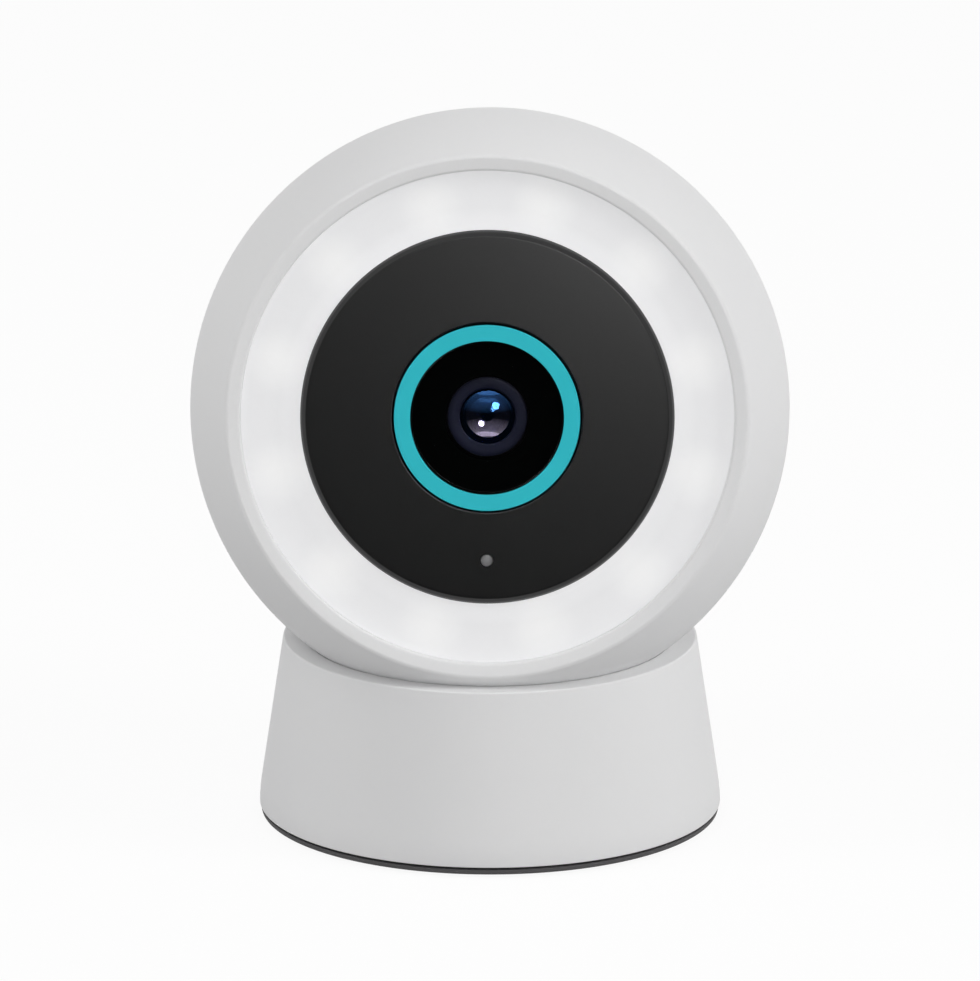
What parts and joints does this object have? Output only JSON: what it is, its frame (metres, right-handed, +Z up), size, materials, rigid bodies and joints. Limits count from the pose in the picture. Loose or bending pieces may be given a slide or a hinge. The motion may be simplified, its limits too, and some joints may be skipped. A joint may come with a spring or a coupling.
{
  "type": "floodlight security camera",
  "caption": "Ball-shaped security camera with a ring floodlight around its lens, held by a magnet in a swivel cup on a round base that stands or hangs on wall screws.",
  "frame": {"origin": "middle of the foot's underside, on the pan axis", "axes": "+Z up along the pan axis; the lens looks towards -Y, tilted up 11 degrees at rest; +X to the right of the picture"},
  "size_m": [0.098, 0.0869, 0.1176],
  "materials": {
    "white_shell": "moulded white ABS, fine satin texture",
    "diffuser": "frosted white polycarbonate, evenly lit from behind",
    "black_face": "satin black, moulded",
    "status_light": "teal translucent light guide",
    "window_glass": "coated cover glass, black from behind",
    "lens_glass": "lens glass with a blue and purple coating",
    "lens_trim": "black anodised look",
    "sensor_window": "smoked grey light pipe",
    "button": "moulded grey",
    "black_plastic": "moulded black, fine grain",
    "foot_rubber": "dark grey silicone",
    "soft_rubber": "black silicone",
    "lead_jacket": "black PVC",
    "circuit_board": "green solder mask",
    "white_board": "white solder mask",
    "heat_sink": "die-cast, bare",
    "steel": "plated steel",
    "bush_bronze": "sintered bronze"
  },
  "bodies": {
    "base": {"base_shell": "white_shell", "base_plate": "black_plastic", "foot_pad": "foot_rubber", "pan_bush": "bush_bronze", "base_screw_1": "steel", "base_screw_2": "steel", "base_screw_3": "steel"},
    "cradle": {"cradle_cup": "black_plastic", "cradle_magnet": "steel", "magnet_yoke": "steel", "seat_ring": "soft_rubber", "wave_washer": "steel", "pan_screw": "steel"},
    "head": {"front_housing": "white_shell", "rear_shell": "white_shell", "diffuser_ring": "diffuser", "face_cover": "black_face", "status_ring": "status_light", "lens_window": "window_glass", "lens_front_element": "lens_glass", "lens_rear_element": "lens_glass", "lens_retainer": "lens_trim", "lens_barrel": "lens_trim", "lens_holder": "lens_trim", "light_pipe": "sensor_window", "reset_switch": "black_plastic", "speaker": "black_plastic", "image_sensor": "black_plastic", "housing_seal": "soft_rubber", "led_lead": "lead_jacket", "speaker_lead": "lead_jacket", "port_lead": "lead_jacket", "main_board": "circuit_board", "sensor_board": "circuit_board", "port_board": "circuit_board", "wifi_antenna": "circuit_board", "led_board": "white_board", "status_board": "white_board", "heat_sink": "heat_sink", "chassis_screw_1": "steel", "chassis_screw_2": "steel", "chassis_screw_3": "steel", "housing_screw_1": "steel", "housing_screw_2": "steel", "housing_screw_3": "steel", "keeper_plate_front": "steel", "keeper_plate_rear": "steel", "power_socket": "steel", "card_socket": "steel"},
    "button": {"reset_button": "button"}
  },
  "joints": [
    {"name": "pan", "type": "hinge", "parent": "base", "child": "cradle", "pos_m": [0, 0, 0.01], "axis": [0, 0, 1], "continuous": true},
    {"name": "tilt", "type": "hinge", "parent": "cradle", "child": "head", "pos_m": [0, 0, 0.0686], "axis": [-1, 0, 0], "range_deg": [-21, 39]},
    {"name": "reset_press", "type": "slide", "parent": "head", "child": "button", "axis": [0, -0.9563, -0.2924], "range_m": [0, 0.0006], "stiffness_N_per_m": 1500}
  ]
}
